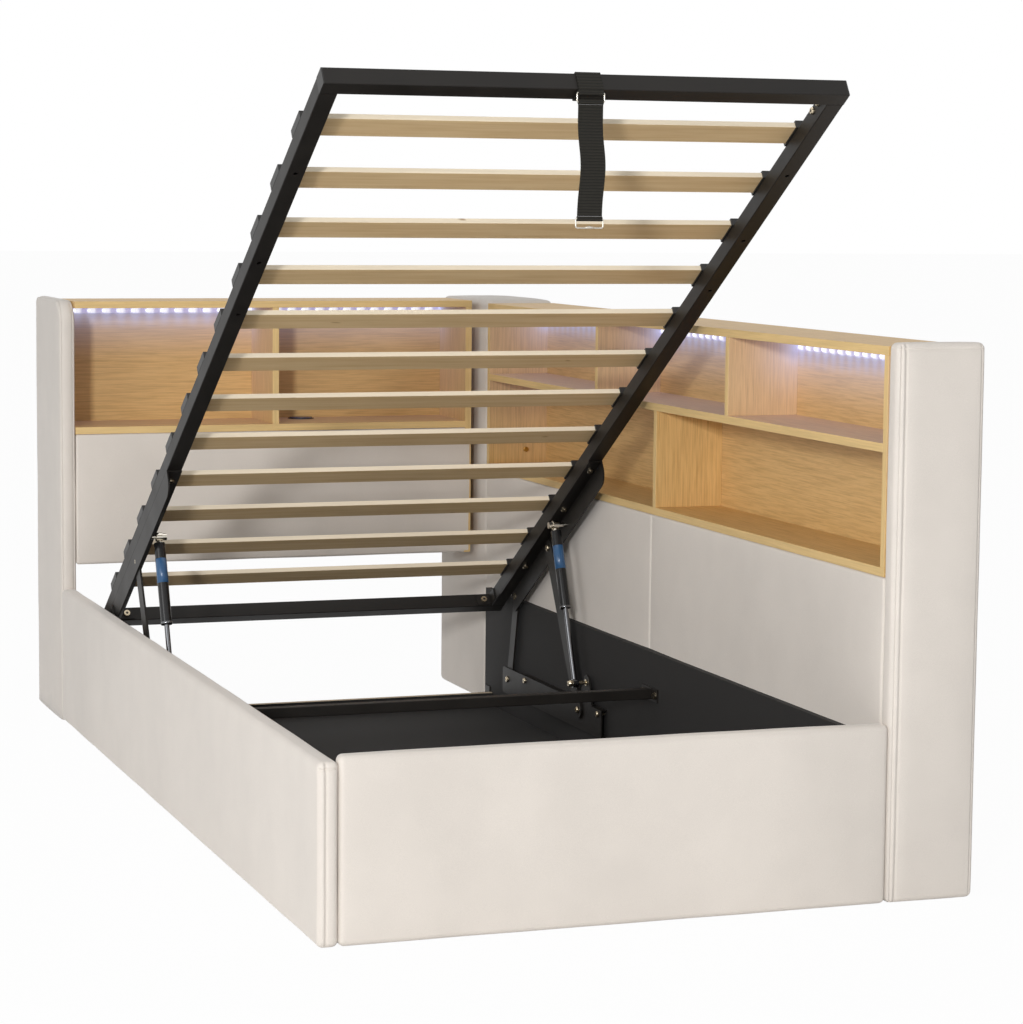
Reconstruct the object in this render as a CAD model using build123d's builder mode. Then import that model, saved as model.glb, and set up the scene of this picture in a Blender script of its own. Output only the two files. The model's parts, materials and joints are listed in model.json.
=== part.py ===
from build123d import *
from math import atan2, cos, degrees, hypot, radians, sin
import os

# Upholstered storage daybed, shown with its slatted frame lifted.
# Millimetres. X runs across the bed, towards the side bookcase. Y runs along it, towards the
# headboard unit. Z is up, with the floor at 0. The origin is the middle of the bed on the floor.

# Plan of the bed
rail_length = 2085.0            # left rail, from the bed's foot to the headboard unit
bay_width = 940.0               # between the left rail and the side bookcase
rail_thick = 34.0
footboard_thick = 30.0
post_thick = 35.0
headboard_depth = 290.0          # of the wing and the corner block
headboard_inner_depth = 190.0    # front of the unit to its back panel
bookcase_depth = 160.0
case_back_inset = 16.5           # back panel ahead of the bookcase's rear edge
block_ahead = 45.0               # corner block past the headboard unit's front

# Heights above the floor
rail_height = 292.0
footboard_height = 300.0
post_height = 926.0
case_height = 920.0             # top of the side bookcase
headboard_height = 925.0        # top of the headboard unit
headboard_shelf_top = 649.0
headboard_panel_foot = 345.0    # the headboard unit is open below this
middle_shelf_top = 760.0
bottom_shelf_top = 555.0
storage_side_height = 273.0
storage_end_height = 38.0

# Boards and covers
board_thick = 15.0
back_thick = 3.0
pad_thick = 18.0                # upholstered lower panels
floor_thick = 9.0
block_wall = 18.0
cover_radius = 8.0              # soft edge of an upholstered board
wing_corner = 50.0              # front top corner of the left wing
wing_back_corner = 15.0
seam_gap = 0.5                  # between two covered boards

# Places of the shelves' uprights, from the foot of the bed or from the left rail
headboard_end_gap = 23.0        # between the headboard unit and the corner block
headboard_divider_from_rail = 453.5
upper_dividers_from_foot = (688.0, 1353.0)
lower_divider_from_foot = 1031.0
pad_seam_from_foot = 1045.0
storage_end_from_foot = 1949.0
storage_side_length = 1965.0

# Light strips, charging point and bookcase screw
led_width = 10.0
led_thick = 2.0
case_led_below_top = 38.0       # lower edge of the strip under the top of its unit
headboard_led_below_top = 32.0
led_notch_gap = 2.0
grommet_radius = 30.0
grommet_body_radius = 27.0
grommet_lip = 2.0
grommet_gap = 0.2
grommet_from_rail = 554.0
grommet_from_front = 155.0
case_screw_radius = 6.0
case_screw_length = 5.0
case_screw_from_front = 89.0
case_screw_height = 586.0

# Cross tube in the storage box
cross_tube_size = 20.0
cross_tube_top = 201.0
cross_tube_from_foot = 998.0
cross_plate_length = 80.0
cross_plate_thick = 3.0
cross_plate_margin = 3.0        # plate above and below the tube

# Lift frame, lifted, and where it lies when it is closed
frame_side_gap = 12.5
closed_foot_gap = 8.0
closed_head_gap = 15.0
closed_drop = 70.0              # its underside below the left rail's top
open_tilt = 32.45               # degrees
open_setback = 228.5            # lowest corner to the headboard unit's front
open_height = 238.3             # lowest corner above the floor
tube_size = 30.0
tube_wall = 1.5
plug_thick = 2.0
plug_depth = 12.0
plug_gap = 0.1
rail_hole_radius = 4.0
left_rail_holes = (257.0, 536.0, 710.0)
right_rail_holes = (245.0, 457.0, 630.0)

# Slats and their holders
slat_count = 12
slat_pitch = 155.5
first_slat = 145.0              # its foot edge from the frame's foot end
slat_width = 50.0
slat_thick = 10.0
slat_gap = 0.15
slat_end_gap = 13.0             # slat's end inside the frame's side
cap_length = 58.0
cap_floor = 2.85
cap_roof = 1.35
cap_reach = 2.0                 # past the rail's inner face
cap_radius = 5.0

# Lift arms under the frame's rails, and the four-bar's pivots, from the frame's head end
plate = 3.0                     # arms and base brackets
arm_from_head = 95.0
arm_length = 633.0
arm_depth = 45.0
arm_end_radius = 28.0
rear_pivot_from_head = 112.0
front_pivot_from_head = 368.0
rear_pivot_below_frame = 16.0
front_pivot_below_frame = 21.5
strut_pivot_from_head = 482.0
strut_pivot_below_frame = 23.0
arm_bolts_from_head = (239.0, 515.0, 691.0)
rear_base_height = 93.0
front_base_height = 100.0
strut_base_ahead = 37.4         # strut's lower pin towards the foot from the front pivot
strut_base_above = 63.0

# Links, pins and struts
link_thick = 4.0
front_link_width = 36.0
rear_link_width = 30.0
slip = 0.3                      # free space beside a moving plate
pin_radius = 4.0
pin_play = 0.05
pin_head_radius = 7.0
pin_head = 4.0
strut_from_plate = 25.0         # strut's middle to the plate beside it
eye_radius = 9.0
eye_width = 12.0
stud_end = 9.0                  # stud past the eye
strut_tube_radius = 11.0
strut_bore = 9.0
strut_tube_start = 12.0
strut_tube_length = 168.0
strut_cap = 8.0
rod_radius = 5.0
piston_length = 12.0
rod_overlap = 34.0              # rod inside the tube when lifted

# Base brackets on the box sides
bracket_foot = 60.0             # lower edge above the floor
bracket_height = 58.0
bracket_ahead = 123.0           # towards the foot from the front pivot
bracket_behind = 33.0           # towards the head from the rear pivot
bracket_flange_end = 98.0       # flanges stop this far before the rear pivot
bracket_ear_radius = 16.0
bracket_bolt_inset = 20.0
bolt_radius = 3.0
bolt_head_radius = 6.5
bolt_head = 4.0
bolt_play = 0.1
washer_radius = 8.0
corner_bolts = ((79.0, 22.0), (55.0, 22.0))   # from the foot end, above the underside
angle_leg = 34.0
angle_thick = 2.5
end_bracket_leg = 30.0
end_bracket_height = 50.0

# Pull strap
strap_width = 42.0
strap_thick = 2.5
strap_offset = -7.5             # its middle from the frame's middle
strap_slack = 0.3
strap_length = 185.0
strap_hinge_in = 3.0            # ring's upper wire from the frame's foot end
strap_hinge_below = 4.6
wire_radius = 1.3
wire_gap = 0.3
ring_drop = 15.0                # between a ring's two long sides
ring_side_gap = 1.0
ring_corner = 3.0

# Faces of the bed that others line up with
bed_width = rail_thick + bay_width + bookcase_depth
bed_length = rail_length + headboard_depth
left, right = -bed_width / 2, bed_width / 2
foot, head = -bed_length / 2, bed_length / 2
rail_inner = left + rail_thick
case_front = right - bookcase_depth
unit_front = foot + rail_length
footboard_inner = foot + footboard_thick
case_foot = foot + post_thick
side_face = case_front - board_thick            # storage box side, seen from inside
case_head = unit_front - block_ahead
case_top_face = case_height - board_thick
unit_top_face = headboard_height - board_thick
unit_back = unit_front + headboard_inner_depth
case_back = right - case_back_inset - back_thick
unit_end = case_front - headboard_end_gap
middle_shelf_foot = middle_shelf_top - board_thick
bottom_shelf_foot = bottom_shelf_top - board_thick
case_led_foot = case_height - case_led_below_top
unit_led_foot = headboard_height - headboard_led_below_top

# Lift frame's own directions: v runs from its foot end to its head end, n up from its underside
frame_left = rail_inner + frame_side_gap
frame_right = side_face - frame_side_gap
frame_mid = (frame_left + frame_right) / 2
half_frame = (frame_right - frame_left) / 2
frame_length = rail_length - footboard_thick - closed_foot_gap - closed_head_gap
tilt = radians(open_tilt)
frame_foot_y = unit_front - open_setback - frame_length * cos(tilt)
frame_foot_z = open_height + frame_length * sin(tilt)
closed_foot_y = footboard_inner + closed_foot_gap
closed_foot_z = rail_height - closed_drop


def opened(v, n):
    """A frame point, as (y, z), with the frame lifted."""
    return (frame_foot_y + v * cos(tilt) + n * sin(tilt), frame_foot_z - v * sin(tilt) + n * cos(tilt))


def closed(v, n):
    """The same frame point with the frame closed."""
    return (closed_foot_y + v, closed_foot_z + n)


def base_pivot(v, n, height):
    """The point at this height that is as far from a frame point lifted as from it closed."""
    (y0, z0), (y1, z1) = opened(v, n), closed(v, n)
    return ((y0 + y1) / 2 - (height - (z0 + z1) / 2) * (z1 - z0) / (y1 - y0), height)


def angle_to(start, end):
    """Angle of the line from start to end in the YZ plane, in degrees from +Y towards +Z."""
    return degrees(atan2(end[1] - start[1], end[0] - start[0]))


def distance(start, end):
    return hypot(end[0] - start[0], end[1] - start[1])


rear_pivot_v = frame_length - rear_pivot_from_head
front_pivot_v = frame_length - front_pivot_from_head
strut_pivot_v = frame_length - strut_pivot_from_head
rear_top = opened(rear_pivot_v, -rear_pivot_below_frame)
front_top = opened(front_pivot_v, -front_pivot_below_frame)
strut_top = opened(strut_pivot_v, -strut_pivot_below_frame)
rear_base = base_pivot(rear_pivot_v, -rear_pivot_below_frame, rear_base_height)
front_base = base_pivot(front_pivot_v, -front_pivot_below_frame, front_base_height)
strut_base = (front_base[0] - strut_base_ahead, front_base[1] + strut_base_above)
rear_top_closed = closed(rear_pivot_v, -rear_pivot_below_frame)
front_top_closed = closed(front_pivot_v, -front_pivot_below_frame)
strut_top_closed = closed(strut_pivot_v, -strut_pivot_below_frame)

# What each joint turns or slides by as the frame closes
front_turn = angle_to(front_base, front_top_closed) - angle_to(front_base, front_top)
rear_turn = angle_to(rear_base, rear_top_closed) - angle_to(rear_base, rear_top)
strut_turn = angle_to(strut_base, strut_top_closed) - angle_to(strut_base, strut_top)
strut_slide = distance(strut_base, strut_top_closed) - distance(strut_base, strut_top)
frame_turn = open_tilt - front_turn
strap_x = frame_mid + strap_offset
strap_hinge = opened(strap_hinge_in, -strap_hinge_below)

# Distances from the frame's middle line to the planes of the lift gear
arm_face = half_frame - plate                   # inboard face of the arm and of the base bracket
front_link_in = arm_face - slip - link_thick
rear_link_in = half_frame + slip
strut_line = arm_face - strut_from_plate

STAND = (Align.CENTER, Align.CENTER, Align.MIN)
HANG = (Align.CENTER, Align.CENTER, Align.MAX)
CORNER = (Align.MIN, Align.MIN)
SIDES = ((-1, "left"), (1, "right"))

os.makedirs("parts", exist_ok=True)


def save(builder, label):
    """Name a finished piece and write its file."""
    builder.part.label = label
    export_step(builder.part, f"parts/{label}.step")


def block(xs, ys, zs, mode=Mode.ADD):
    """A square-edged block in the open part, between limits on each axis."""
    middle = [sum(span) / 2 for span in (xs, ys, zs)]
    size = [span[1] - span[0] for span in (xs, ys, zs)]
    with Locations(tuple(middle)):
        Box(*size, mode=mode)


def soften(builder, radius=cover_radius):
    """Round the upright and the top edges of a covered board, and leave its foot square."""
    fillet(builder.edges().filter_by(Axis.Z) + builder.edges().group_by(Axis.Z)[-1], radius)


def across(side, near, far):
    """X limits of a layer between two distances from the frame's middle line."""
    return tuple(sorted((frame_mid + side * near, frame_mid + side * far)))


def frame_side(x):
    """Sketch plane of the lifted frame seen from the side: v to the right, n up."""
    return Plane(origin=(x, frame_foot_y, frame_foot_z), x_dir=(0, cos(tilt), -sin(tilt)), z_dir=(1, 0, 0))


def frame_layer(n):
    """Sketch plane in the lifted frame, n above its underside: X to the right, v up."""
    y, z = opened(0, n)
    return Plane(origin=(0, y, z), x_dir=(1, 0, 0), z_dir=(0, sin(tilt), cos(tilt)))


def upright(side, point, distance_out, outward=1):
    """Plane at a YZ point, square to X, facing away from the frame's middle line or towards it."""
    x = frame_mid + side * distance_out
    return Plane(origin=(x, point[0], point[1]), x_dir=(0, 1, 0), z_dir=(side * outward, 0, 0))


def bolt(place, shank, head_radius=bolt_head_radius, head_height=bolt_head, radius=bolt_radius):
    """A socket-head bolt in the open part: its head stands on the plane, its shank runs behind."""
    with Locations(place):
        Cylinder(head_radius, head_height / 2, align=STAND)
        Cylinder(radius, shank, align=HANG)
    with Locations(place.offset(head_height / 2)):
        Cone(head_radius, head_radius * 0.75, head_height / 2, align=STAND)
        Cylinder(head_radius * 0.4, head_height / 2, align=STAND, mode=Mode.SUBTRACT)


# Upholstered boards of the bed's outside
with BuildPart() as left_side_rail:
    block((left, rail_inner), (foot, unit_front - seam_gap), (0, rail_height))
    soften(left_side_rail)
save(left_side_rail, "left_side_rail")

with BuildPart() as footboard:
    block((rail_inner + seam_gap, case_front - seam_gap), (foot, footboard_inner), (0, footboard_height))
    soften(footboard)
save(footboard, "footboard")

with BuildPart() as foot_post:
    block((case_front, right), (foot, case_foot), (0, post_height))
    soften(foot_post)
save(foot_post, "foot_post")

with BuildPart() as left_wing:
    with BuildSketch(Plane.YZ.offset(left)):
        with Locations((unit_front, 0)):
            Rectangle(headboard_depth, post_height, align=CORNER)
        top_corners = vertices().group_by(Axis.Z)[-1].sort_by(Axis.Y)
        fillet(top_corners[0], wing_corner)
        fillet(vertices().sort_by(Axis.Y).group_by(Axis.Z)[-1].sort_by(Axis.Y)[-1], wing_back_corner)
    extrude(amount=rail_thick)
    wing_faces = faces().filter_by(Axis.X)
    fillet(wing_faces.edges().filter_by(lambda edge: edge.center().Z > 1), cover_radius * 0.6)
save(left_wing, "left_wing")

with BuildPart() as head_corner_block:
    block((case_front, right), (case_head, head), (0, post_height))
    soften(head_corner_block)
    inner_x = (case_front + block_wall, right - block_wall)
    inner_y = (case_head + block_wall, head - block_wall)
    block(inner_x, inner_y, (0, post_height - block_wall), mode=Mode.SUBTRACT)
save(head_corner_block, "head_corner_block")

# Headboard unit: one long compartment in two halves, over an upholstered panel
unit_shelf_foot = headboard_shelf_top - board_thick
divider_x = rail_inner + headboard_divider_from_rail
led_notch_y = (unit_back - led_thick - led_notch_gap, unit_back)
led_notch_z = (unit_led_foot - led_notch_gap, unit_top_face)

with BuildPart() as headboard_panel:
    block((rail_inner + seam_gap, unit_end), (unit_front, unit_front + pad_thick),
          (headboard_panel_foot, unit_shelf_foot))
    fillet(edges().filter_by(Axis.Z) + edges().group_by(Axis.Z)[0].filter_by(Axis.X), cover_radius / 2)
save(headboard_panel, "headboard_panel")

with BuildPart() as headboard_top_board:
    block((rail_inner, unit_end), (unit_front, unit_back + back_thick), (unit_top_face, headboard_height))
save(headboard_top_board, "headboard_top_board")

with BuildPart() as headboard_shelf:
    block((rail_inner, unit_end - board_thick), (unit_front, unit_back), (unit_shelf_foot, headboard_shelf_top))
    grommet_place = (rail_inner + grommet_from_rail, unit_front + grommet_from_front, unit_shelf_foot)
    with Locations(grommet_place):
        Cylinder(grommet_body_radius + grommet_gap, board_thick, align=STAND, mode=Mode.SUBTRACT)
save(headboard_shelf, "headboard_shelf")

with BuildPart() as headboard_end_board:
    end_x = (unit_end - board_thick, unit_end)
    block(end_x, (unit_front, unit_back), (unit_shelf_foot, unit_top_face))
    block(end_x, (unit_front + pad_thick, unit_back), (headboard_panel_foot, unit_shelf_foot))
save(headboard_end_board, "headboard_end_board")

with BuildPart() as headboard_divider:
    divider_span = (divider_x - board_thick / 2, divider_x + board_thick / 2)
    block(divider_span, (unit_front, unit_back), (headboard_shelf_top, unit_top_face))
    block(divider_span, led_notch_y, led_notch_z, mode=Mode.SUBTRACT)
save(headboard_divider, "headboard_divider")

with BuildPart() as headboard_back:
    block((rail_inner, case_front), (unit_back, unit_back + back_thick), (headboard_panel_foot, unit_top_face))
save(headboard_back, "headboard_back")

with BuildPart() as headboard_led_strip:
    block((rail_inner + led_notch_gap, unit_end - board_thick - led_notch_gap),
          (unit_back - led_thick, unit_back), (unit_led_foot, unit_led_foot + led_width))
save(headboard_led_strip, "headboard_led_strip")

with BuildPart() as charging_grommet:
    with Locations(grommet_place):
        Cylinder(grommet_body_radius, board_thick, align=STAND)
    with Locations((grommet_place[0], grommet_place[1], headboard_shelf_top)):
        Cylinder(grommet_radius, grommet_lip, align=STAND)
    fillet(edges().group_by(Axis.Z)[-1], grommet_lip / 2)
save(charging_grommet, "charging_grommet")

# Side bookcase: an upper row in three, a lower row in two, over two upholstered panels
case_depth_x = (case_front, case_back)
case_run_y = (case_foot, case_head)
case_inner_y = (case_foot + board_thick, case_head - board_thick)

with BuildPart() as bookcase_top_board:
    block((case_front, right), case_run_y, (case_top_face, case_height))
save(bookcase_top_board, "bookcase_top_board")

with BuildPart() as bookcase_middle_shelf:
    block(case_depth_x, case_inner_y, (middle_shelf_foot, middle_shelf_top))
save(bookcase_middle_shelf, "bookcase_middle_shelf")

with BuildPart() as bookcase_bottom_shelf:
    block(case_depth_x, case_run_y, (bottom_shelf_foot, bottom_shelf_top))
save(bookcase_bottom_shelf, "bookcase_bottom_shelf")

for end_y, label in ((case_inner_y[1], "bookcase_head_board"), (case_foot, "bookcase_foot_board")):
    with BuildPart() as end_board:
        block(case_depth_x, (end_y, end_y + board_thick), (bottom_shelf_top, case_top_face))
    save(end_board, label)

for number, from_foot in enumerate(upper_dividers_from_foot, start=1):
    with BuildPart() as upper_divider:
        divider_y = (foot + from_foot - board_thick / 2, foot + from_foot + board_thick / 2)
        block(case_depth_x, divider_y, (middle_shelf_top, case_top_face))
        led_notch_x = (case_back - led_thick - led_notch_gap, case_back)
        block(led_notch_x, divider_y, (case_led_foot - led_notch_gap, case_top_face), mode=Mode.SUBTRACT)
    save(upper_divider, f"bookcase_upper_divider_{number}")

with BuildPart() as bookcase_lower_divider:
    divider_y = foot + lower_divider_from_foot
    block(case_depth_x, (divider_y - board_thick / 2, divider_y + board_thick / 2),
          (bottom_shelf_top, middle_shelf_foot))
save(bookcase_lower_divider, "bookcase_lower_divider")

with BuildPart() as bookcase_back:
    block((case_back, case_back + back_thick), case_run_y, (0, case_top_face))
save(bookcase_back, "bookcase_back")

pad_seam = foot + pad_seam_from_foot
pad_spans = (((case_foot + seam_gap, pad_seam - seam_gap / 2), "bookcase_panel_foot"),
             ((pad_seam + seam_gap / 2, case_head - seam_gap), "bookcase_panel_head"))
for pad_y, label in pad_spans:
    with BuildPart() as pad:
        block((case_front, case_front + pad_thick), pad_y, (0, bottom_shelf_foot))
        fillet(edges().filter_by(Axis.Z).group_by(Axis.X)[0], cover_radius / 2)
    save(pad, label)

with BuildPart() as bookcase_lower_uprights:
    for start_y in (case_foot, pad_seam - board_thick / 2, case_inner_y[1]):
        block((case_front + pad_thick, case_back), (start_y, start_y + board_thick), (0, bottom_shelf_foot))
save(bookcase_lower_uprights, "bookcase_lower_uprights")

with BuildPart() as bookcase_led_strip:
    block((case_back - led_thick, case_back), (case_inner_y[0] + led_notch_gap, case_inner_y[1] - led_notch_gap),
          (case_led_foot, case_led_foot + led_width))
save(bookcase_led_strip, "bookcase_led_strip")

with BuildPart() as bookcase_connector_screw:
    screw_at = (case_front + case_screw_from_front, case_inner_y[1], case_screw_height)
    with Locations(Plane(origin=screw_at, z_dir=(0, -1, 0))):
        Cylinder(case_screw_radius, case_screw_length, align=STAND)
    fillet(edges().group_by(Axis.Y)[0], case_screw_length / 4)
save(bookcase_connector_screw, "bookcase_connector_screw")

# Storage box under the lift frame
storage_end_y = (foot + storage_end_from_foot - board_thick / 2, foot + storage_end_from_foot + board_thick / 2)
cross_tube_y = foot + cross_tube_from_foot

with BuildPart() as storage_side_panel:
    block((side_face, case_front), (footboard_inner, footboard_inner + storage_side_length),
          (0, storage_side_height))
save(storage_side_panel, "storage_side_panel")

floor_spans = (((footboard_inner, cross_tube_y), "storage_floor_foot"),
               ((cross_tube_y, storage_end_y[0]), "storage_floor_head"))
for floor_y, label in floor_spans:
    with BuildPart() as floor_board:
        block((rail_inner, side_face), floor_y, (0, floor_thick))
    save(floor_board, label)

with BuildPart() as storage_end_board:
    block((rail_inner, side_face), storage_end_y, (0, storage_end_height))
save(storage_end_board, "storage_end_board")

with BuildPart() as storage_end_brackets:
    for wall, inward in ((rail_inner, 1), (side_face, -1)):
        leg_x = sorted((wall, wall + inward * end_bracket_leg))
        plate_x = sorted((wall, wall + inward * plate))
        leg_y = (storage_end_y[1], storage_end_y[1] + plate)
        block(leg_x, leg_y, (0, storage_end_height))
        block(plate_x, (storage_end_y[1], storage_end_y[1] + end_bracket_leg), (0, end_bracket_height))
save(storage_end_brackets, "storage_end_brackets")

cross_tube_z = (cross_tube_top - cross_tube_size, cross_tube_top)
cross_plate_y = (cross_tube_y - cross_plate_length / 2, cross_tube_y + cross_plate_length / 2)
with BuildPart() as storage_cross_tube:
    cross_y = (cross_tube_y - cross_tube_size / 2, cross_tube_y + cross_tube_size / 2)
    block((rail_inner, side_face), cross_y, cross_tube_z)
    fillet(edges().filter_by(Axis.X), tube_wall)
    bore_y = (cross_y[0] + tube_wall, cross_y[1] - tube_wall)
    bore_z = (cross_tube_z[0] + tube_wall, cross_tube_z[1] - tube_wall)
    block((rail_inner, side_face), bore_y, bore_z, mode=Mode.SUBTRACT)
    plate_z = (cross_tube_z[0] - cross_plate_margin, cross_tube_z[1] + cross_plate_margin)
    for wall, inward in ((rail_inner, 1), (side_face, -1)):
        block(sorted((wall, wall + inward * cross_plate_thick)), cross_plate_y, plate_z)
save(storage_cross_tube, "storage_cross_tube")

# Base brackets: a plate stood off the box's side, with an ear for the strut
bracket_top = bracket_foot + bracket_height
bracket_y = (front_base[0] - bracket_ahead, rear_base[0] + bracket_behind)
flange_end_y = rear_base[0] - bracket_flange_end
wall_reach = half_frame + frame_side_gap
bracket_bolts = (bracket_y[0] + bracket_bolt_inset, flange_end_y - bracket_bolt_inset + 4)
bracket_bolt_z = bracket_top - bracket_bolt_inset / 2

for side, name in SIDES:
    with BuildPart() as base_bracket:
        web_x = across(side, arm_face, half_frame)
        with BuildSketch(Plane.YZ.offset(web_x[0])):
            with Locations((bracket_y[0], bracket_foot)):
                Rectangle(bracket_y[1] - bracket_y[0], bracket_height, align=CORNER)
            fillet(vertices(), bracket_bolt_inset / 3)
            with BuildLine():
                ear = [(strut_base[0] + 3 * bracket_ear_radius, bracket_top - 1),
                       (strut_base[0] - 2 * bracket_ear_radius, bracket_top - 1),
                       (strut_base[0] - bracket_ear_radius, strut_base[1]),
                       (strut_base[0] + bracket_ear_radius, strut_base[1])]
                Polyline(*ear, close=True)
            make_face()
            with Locations(strut_base):
                Circle(bracket_ear_radius)
            with Locations(strut_base, front_base, rear_base):
                Circle(pin_radius, mode=Mode.SUBTRACT)
            with Locations(*[(y, bracket_bolt_z) for y in bracket_bolts]):
                Circle(bolt_radius + bolt_play, mode=Mode.SUBTRACT)
        extrude(amount=plate)
        flange_x = across(side, half_frame - plate / 2, wall_reach)
        for low in (bracket_foot, bracket_top - plate):
            block(flange_x, (bracket_y[0] + bracket_bolt_inset / 3, flange_end_y), (low, low + plate))
    save(base_bracket, f"{name}_base_bracket")

with BuildPart() as base_bolts:
    for side, name in SIDES:
        for bolt_y in bracket_bolts:
            bolt(upright(side, (bolt_y, bracket_bolt_z), arm_face, -1), plate + frame_side_gap)
        for bolt_y in (cross_plate_y[0] + bracket_bolt_inset / 2, cross_plate_y[1] - bracket_bolt_inset / 2):
            place = upright(side, (bolt_y, sum(cross_tube_z) / 2), wall_reach - cross_plate_thick, -1)
            with Locations(place):
                Cylinder(bolt_head_radius, bolt_head, align=STAND)
save(base_bolts, "base_bolts")

# Pins on the base brackets: two for the links and one for the strut, each side
with BuildPart() as base_pins:
    for side, name in SIDES:
        front_pin_reach = link_thick + 2 * slip
        bolt(upright(side, front_base, arm_face - front_pin_reach, -1), front_pin_reach + plate,
             pin_head_radius, pin_head, pin_radius)
        bolt(upright(side, rear_base, arm_face, -1), plate + link_thick + 2 * slip,
             pin_head_radius, pin_head, pin_radius)
        with Locations(upright(side, rear_base, rear_link_in + link_thick + slip)):
            Cylinder(pin_head_radius, pin_head / 2, align=STAND)
        stud = strut_from_plate + eye_width / 2 + slip
        bolt(upright(side, strut_base, arm_face - stud, -1), stud + plate, pin_head_radius, stud_end, pin_radius)
        with Locations(upright(side, strut_base, arm_face, -1)):
            Cylinder(pin_head_radius, pin_head / 2, align=STAND)
save(base_pins, "base_pins")


def link(side, near, base, top, width, open_top):
    """A flat bar with round ends in the open part, drilled for its lower and upper pins."""
    layer = across(side, near, near + link_thick)
    along = (0, top[0] - base[0], top[1] - base[1])
    with BuildSketch(Plane(origin=(layer[0], *base), x_dir=along, z_dir=(1, 0, 0))) as bar:
        with Locations((distance(base, top) / 2, 0)):
            SlotCenterToCenter(distance(base, top), width)
        with Locations((0, 0)):
            Circle(pin_radius + pin_play, mode=Mode.SUBTRACT)
        if not open_top:
            with Locations((distance(base, top), 0)):
                Circle(pin_radius + pin_play, mode=Mode.SUBTRACT)
    extrude(bar.sketch, amount=link_thick)


# Front links carry the frame; rear links steer it, and their upper ends are left free
for side, name in SIDES:
    with BuildPart() as front_link:
        link(side, front_link_in, front_base, front_top, front_link_width, open_top=False)
    save(front_link, f"{name}_front_link")

    with BuildPart() as rear_link:
        link(side, rear_link_in, rear_base, rear_top, rear_link_width, open_top=True)
        with Locations(upright(side, rear_top, rear_link_in + link_thick)):
            Cylinder(pin_head_radius, pin_head / 2, align=STAND)
    save(rear_link, f"{name}_rear_link")

# Lift frame: two rails between two full-width cross tubes
rail_v = (tube_size, frame_length - tube_size)
for side, name, holes in ((-1, "left", left_rail_holes), (1, "right", right_rail_holes)):
    with BuildPart() as frame_rail:
        rail_x = across(side, half_frame - tube_size, half_frame)
        with BuildSketch(frame_side(rail_x[0])):
            with Locations((rail_v[0], 0)):
                Rectangle(rail_v[1] - rail_v[0], tube_size, align=CORNER)
        extrude(amount=tube_size)
        fillet(edges().filter_by(Axis(origin=(0, 0, 0), direction=(0, cos(tilt), -sin(tilt)))), tube_wall)
        with BuildSketch(frame_side(rail_x[0] + tube_wall)):
            with Locations((rail_v[0], tube_wall)):
                Rectangle(rail_v[1] - rail_v[0], tube_size - 2 * tube_wall, align=CORNER)
        extrude(amount=tube_size - 2 * tube_wall, mode=Mode.SUBTRACT)
        with BuildSketch(frame_layer(0)):
            with Locations(*[(sum(rail_x) / 2, v) for v in holes]):
                Circle(rail_hole_radius)
        extrude(amount=tube_wall, mode=Mode.SUBTRACT)
        wall_x = across(side, half_frame - tube_size, half_frame - tube_size + tube_wall)
        with BuildSketch(frame_side(wall_x[0])):
            with Locations(*corner_bolts):
                Circle(bolt_radius + bolt_play)
        extrude(amount=tube_wall, mode=Mode.SUBTRACT)
    save(frame_rail, f"frame_{name}_rail")

tube_half = half_frame - plug_thick     # plugs' faces end flush with the rails
for start_v, label in ((0, "frame_foot_tube"), (frame_length - tube_size, "frame_head_tube")):
    with BuildPart() as cross_member:
        with BuildSketch(frame_side(frame_left + plug_thick)):
            with Locations((start_v, 0)):
                Rectangle(tube_size, tube_size, align=CORNER)
            fillet(vertices(), tube_wall)
            with Locations((start_v + tube_wall, tube_wall)):
                Rectangle(tube_size - 2 * tube_wall, tube_size - 2 * tube_wall, align=CORNER, mode=Mode.SUBTRACT)
        extrude(amount=2 * tube_half)
    save(cross_member, label)

with BuildPart() as tube_end_plugs:
    plug_size = tube_size - 2 * tube_wall - 2 * plug_gap
    for side, name in SIDES:
        for middle_v in (tube_size / 2, frame_length - tube_size / 2):
            inner_x = across(side, tube_half - plug_depth, tube_half)
            outer_x = across(side, tube_half, half_frame)
            with BuildSketch(frame_side(inner_x[0])) as plug_body:
                with Locations((middle_v, tube_size / 2)):
                    Rectangle(plug_size, plug_size)
            extrude(plug_body.sketch, amount=plug_depth)
            with BuildSketch(frame_side(outer_x[0])) as plug_face:
                with Locations((middle_v, tube_size / 2)):
                    RectangleRounded(tube_size, tube_size, tube_wall)
            extrude(plug_face.sketch, amount=plug_thick)
save(tube_end_plugs, "tube_end_plugs")

with BuildPart() as frame_corner_angles:
    tube_foot_v = frame_length - tube_size
    for side, name in SIDES:
        rail_face_x = across(side, half_frame - tube_size - angle_thick, half_frame - tube_size)
        tube_face_x = across(side, half_frame - tube_size - angle_leg, half_frame - tube_size)
        with BuildSketch(frame_side(rail_face_x[0])) as rail_leg:
            with Locations((tube_foot_v - angle_leg, angle_thick)):
                Rectangle(angle_leg, tube_size - 2 * angle_thick, align=CORNER)
        extrude(rail_leg.sketch, amount=angle_thick)
        with BuildSketch(frame_side(tube_face_x[0])) as tube_leg:
            with Locations((tube_foot_v - angle_thick, angle_thick)):
                Rectangle(angle_thick, tube_size - 2 * angle_thick, align=CORNER)
        extrude(tube_leg.sketch, amount=angle_leg)
save(frame_corner_angles, "frame_corner_angles")

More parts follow.
